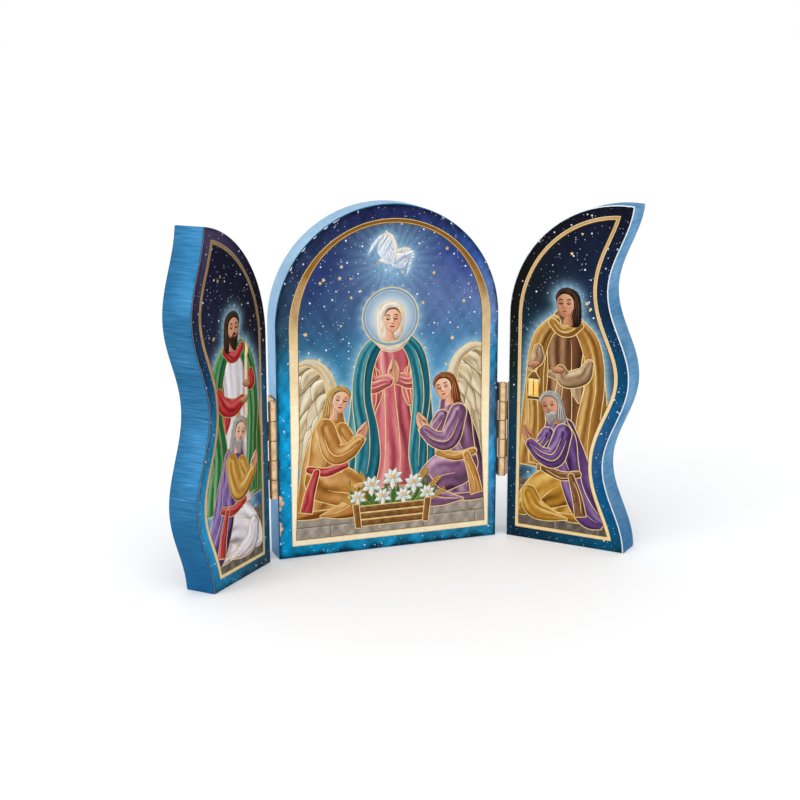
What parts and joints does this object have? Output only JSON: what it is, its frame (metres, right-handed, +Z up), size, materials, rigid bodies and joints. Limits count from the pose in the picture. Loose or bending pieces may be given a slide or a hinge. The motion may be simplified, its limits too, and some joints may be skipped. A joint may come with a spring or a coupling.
{
  "type": "folding triptych altarpiece",
  "caption": "Small standing wooden triptych: an arched picture panel with two hinged wings that fold shut over it along a wavy cut.",
  "frame": {"origin": "middle of the centre board's underside, half way through its thickness", "axes": "+X to the viewer's right along the centre board, +Y out of its back, +Z up; the pictures face -Y"},
  "size_m": [0.1628, 0.0454, 0.12],
  "materials": {
    "blue_paint": "metallic light blue paint on wood, satin, with brush streaks along the sawn edge",
    "gold_print": "glossy printed paper with gold foil lines",
    "hinge_brass": "satin, slightly tarnished"
  },
  "bodies": {
    "center": {"center_board": "blue_paint", "center_print": "gold_print", "left_hinge_panel_leaf": "hinge_brass", "left_hinge_pin": "hinge_brass", "left_hinge_panel_nail_lower": "hinge_brass", "left_hinge_panel_nail_upper": "hinge_brass", "right_hinge_panel_leaf": "hinge_brass", "right_hinge_pin": "hinge_brass", "right_hinge_panel_nail_lower": "hinge_brass", "right_hinge_panel_nail_upper": "hinge_brass"},
    "left_wing": {"left_board": "blue_paint", "left_print": "gold_print", "left_hinge_wing_leaf": "hinge_brass", "left_hinge_wing_nail_lower": "hinge_brass", "left_hinge_wing_nail_upper": "hinge_brass"},
    "right_wing": {"right_board": "blue_paint", "right_print": "gold_print", "right_hinge_wing_leaf": "hinge_brass", "right_hinge_wing_nail_lower": "hinge_brass", "right_hinge_wing_nail_upper": "hinge_brass"}
  },
  "joints": [
    {"name": "left_wing_hinge", "type": "hinge", "parent": "center", "child": "left_wing", "pos_m": [-0.04175, -0.00625, 0.03915], "axis": [0, 0, 1], "range_deg": [-52, 136]},
    {"name": "right_wing_hinge", "type": "hinge", "parent": "center", "child": "right_wing", "pos_m": [0.04175, -0.00625, 0.03915], "axis": [0, 0, -1], "range_deg": [-55.8, 132.2]}
  ]
}
